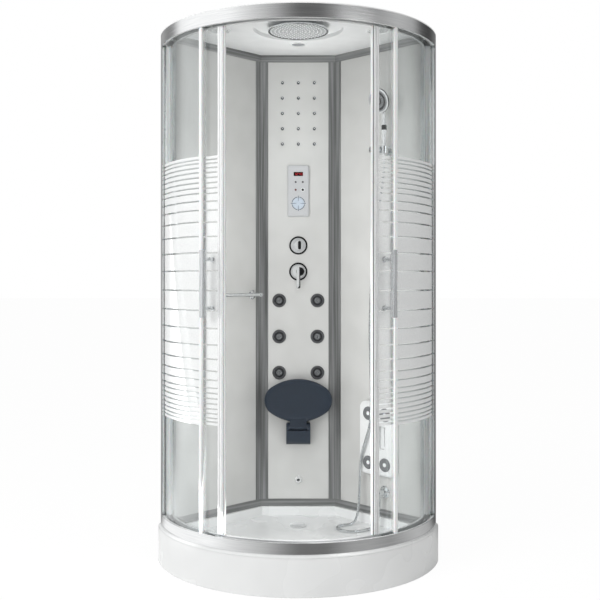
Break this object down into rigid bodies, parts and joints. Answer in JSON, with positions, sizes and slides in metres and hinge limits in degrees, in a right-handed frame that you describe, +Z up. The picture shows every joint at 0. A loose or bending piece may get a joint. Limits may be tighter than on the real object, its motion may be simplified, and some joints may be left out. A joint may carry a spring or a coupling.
{
  "type": "shower cabin",
  "caption": "Corner shower cabin with curved sliding glass doors, a wall column with mixer, jets and folding seat, a hand shower, a rain shower and a deep tray.",
  "frame": {"origin": "on the floor, in the middle of the cabin's bounding box", "axes": "+Z up, -Y out through the doors, +Y to the room's corner, +X to the right for someone facing the doors"},
  "size_m": [1.1484, 1.0284, 2.199],
  "materials": {
    "tray_acrylic": "gloss white acrylic",
    "galvanised_steel": "zinc plated",
    "black_plastic": "moulded",
    "grey_plastic": "moulded",
    "chrome_plate": "polished",
    "chromed_abs": "chrome plated plastic",
    "satin_aluminium": "satin anodised",
    "clear_glass": "clear, with printed white bands",
    "painted_glass": "back painted, light grey",
    "seal_strip": "soft white strip",
    "white_abs": "gloss white",
    "control_abs": "pale grey",
    "control_print": "dark display and key caps",
    "brass": "cast",
    "water_pipe": "extruded",
    "generator_case": "moulded",
    "jet_grey": "dark grey",
    "jet_ball": "light grey",
    "seat_abs": "dark blue grey, moulded",
    "hose_metal": "silver wound hose"
  },
  "bodies": {
    "cabin": {"tray": "tray_acrylic", "tray_apron": "tray_acrylic", "tray_frame": "galvanised_steel", "tray_feet": "black_plastic", "drain_trap": "grey_plastic", "drain_cover": "chrome_plate", "bottom_rail": "satin_aluminium", "top_rail": "satin_aluminium", "wall_profiles": "satin_aluminium", "fixed_glass": "clear_glass", "fixed_edge_seals": "seal_strip", "side_panels": "painted_glass", "centre_panel": "painted_glass", "panel_frames": "satin_aluminium", "roof": "white_abs", "rain_shower": "chromed_abs", "ceiling_fittings": "white_abs", "water_nozzles": "chromed_abs", "control_panel": "control_abs", "control_face": "control_print", "valve_plates": "chrome_plate", "valve_body": "brass", "water_pipes": "water_pipe", "steam_generator": "generator_case", "steam_outlet": "white_abs", "jet_housings": "jet_grey", "seat_bracket": "seat_abs", "seat_hinge_pin": "chrome_plate", "towel_bar": "chrome_plate", "holder_base": "chromed_abs", "hose_elbow": "chrome_plate", "shower_hose": "hose_metal", "massage_panel": "white_abs", "massage_jets": "jet_grey"},
    "door_left": {"door_glass_left": "clear_glass", "door_stile_left": "satin_aluminium", "door_seals_left": "seal_strip", "door_handle_left": "chrome_plate", "door_carriers_left": "chrome_plate"},
    "roller_left_front": {"roller_left_front": "white_abs"},
    "roller_left_rear": {"roller_left_rear": "white_abs"},
    "door_right": {"door_glass_right": "clear_glass", "door_stile_right": "satin_aluminium", "door_seals_right": "seal_strip", "door_handle_right": "chrome_plate", "door_carriers_right": "chrome_plate"},
    "roller_right_front": {"roller_right_front": "white_abs"},
    "roller_right_rear": {"roller_right_rear": "white_abs"},
    "diverter_knob": {"diverter_knob": "chrome_plate"},
    "mixer_stem": {"mixer_stem": "brass"},
    "mixer_lever": {"mixer_lever": "chrome_plate"},
    "jet_nozzle_1": {"jet_nozzle_1": "jet_ball"},
    "jet_nozzle_2": {"jet_nozzle_2": "jet_ball"},
    "jet_nozzle_3": {"jet_nozzle_3": "jet_ball"},
    "jet_nozzle_4": {"jet_nozzle_4": "jet_ball"},
    "jet_nozzle_5": {"jet_nozzle_5": "jet_ball"},
    "jet_nozzle_6": {"jet_nozzle_6": "jet_ball"},
    "seat": {"seat": "seat_abs"},
    "hand_shower": {"holder_cup": "chromed_abs", "hand_shower": "chromed_abs"}
  },
  "joints": [
    {"name": "door_left_slide", "type": "hinge", "parent": "cabin", "child": "door_left", "pos_m": [0, 0.0758, 1.15], "axis": [0, 0, 1], "range_deg": [0, 30.1]},
    {"name": "roller_left_front_turn", "type": "hinge", "parent": "door_left", "child": "roller_left_front", "pos_m": [-0.32787, -0.35201, 2.1213], "axis": [-0.6083, -0.7937, 0], "range_deg": [-1357, 0]},
    {"name": "roller_left_rear_turn", "type": "hinge", "parent": "door_left", "child": "roller_left_rear", "pos_m": [-0.49745, -0.13171, 2.1213], "axis": [-0.9229, -0.385, 0], "range_deg": [-1357, 0]},
    {"name": "door_right_slide", "type": "hinge", "parent": "cabin", "child": "door_right", "pos_m": [0, 0.0758, 1.15], "axis": [0, 0, -1], "range_deg": [0, 30.1]},
    {"name": "roller_right_front_turn", "type": "hinge", "parent": "door_right", "child": "roller_right_front", "pos_m": [0.32787, -0.35201, 2.1213], "axis": [0.6083, -0.7937, 0], "range_deg": [0, 1357]},
    {"name": "roller_right_rear_turn", "type": "hinge", "parent": "door_right", "child": "roller_right_rear", "pos_m": [0.49745, -0.13171, 2.1213], "axis": [0.9229, -0.385, 0], "range_deg": [0, 1357]},
    {"name": "diverter_turn", "type": "hinge", "parent": "cabin", "child": "diverter_knob", "pos_m": [0, 0.29509, 1.308], "axis": [0, -1, 0], "range_deg": [-90, 90]},
    {"name": "mixer_turn", "type": "hinge", "parent": "cabin", "child": "mixer_stem", "pos_m": [0, 0.29509, 1.19], "axis": [0, -1, 0], "range_deg": [-45, 45]},
    {"name": "mixer_lift", "type": "hinge", "parent": "mixer_stem", "child": "mixer_lever", "pos_m": [0, 0.29109, 1.19], "axis": [-1, 0, 0], "range_deg": [0, 18]},
    {"name": "jet_1_tilt", "type": "hinge", "parent": "cabin", "child": "jet_nozzle_1", "pos_m": [-0.086, 0.31409, 0.735], "axis": [1, 0, 0], "range_deg": [-15, 15]},
    {"name": "jet_2_tilt", "type": "hinge", "parent": "cabin", "child": "jet_nozzle_2", "pos_m": [0.086, 0.31409, 0.735], "axis": [1, 0, 0], "range_deg": [-15, 15]},
    {"name": "jet_3_tilt", "type": "hinge", "parent": "cabin", "child": "jet_nozzle_3", "pos_m": [-0.086, 0.31409, 0.8975], "axis": [1, 0, 0], "range_deg": [-15, 15]},
    {"name": "jet_4_tilt", "type": "hinge", "parent": "cabin", "child": "jet_nozzle_4", "pos_m": [0.086, 0.31409, 0.8975], "axis": [1, 0, 0], "range_deg": [-15, 15]},
    {"name": "jet_5_tilt", "type": "hinge", "parent": "cabin", "child": "jet_nozzle_5", "pos_m": [-0.086, 0.31409, 1.06], "axis": [1, 0, 0], "range_deg": [-15, 15]},
    {"name": "jet_6_tilt", "type": "hinge", "parent": "cabin", "child": "jet_nozzle_6", "pos_m": [0.086, 0.31409, 1.06], "axis": [1, 0, 0], "range_deg": [-15, 15]},
    {"name": "seat_fold", "type": "hinge", "parent": "cabin", "child": "seat", "pos_m": [0, 0.25109, 0.5], "axis": [1, 0, 0], "range_deg": [0, 90]},
    {"name": "holder_tilt", "type": "hinge", "parent": "cabin", "child": "hand_shower", "pos_m": [0.3486, 0.06378, 1.7], "axis": [-0.7071, -0.7071, 0], "range_deg": [-20, 20], "deforming": ["shower_hose"]}
  ],
  "couplings": [
    {"joint": "roller_left_front_turn", "follows": "door_left_slide", "ratio": -44.917},
    {"joint": "roller_left_rear_turn", "follows": "door_left_slide", "ratio": -44.917},
    {"joint": "roller_right_front_turn", "follows": "door_right_slide", "ratio": 44.917},
    {"joint": "roller_right_rear_turn", "follows": "door_right_slide", "ratio": 44.917}
  ]
}
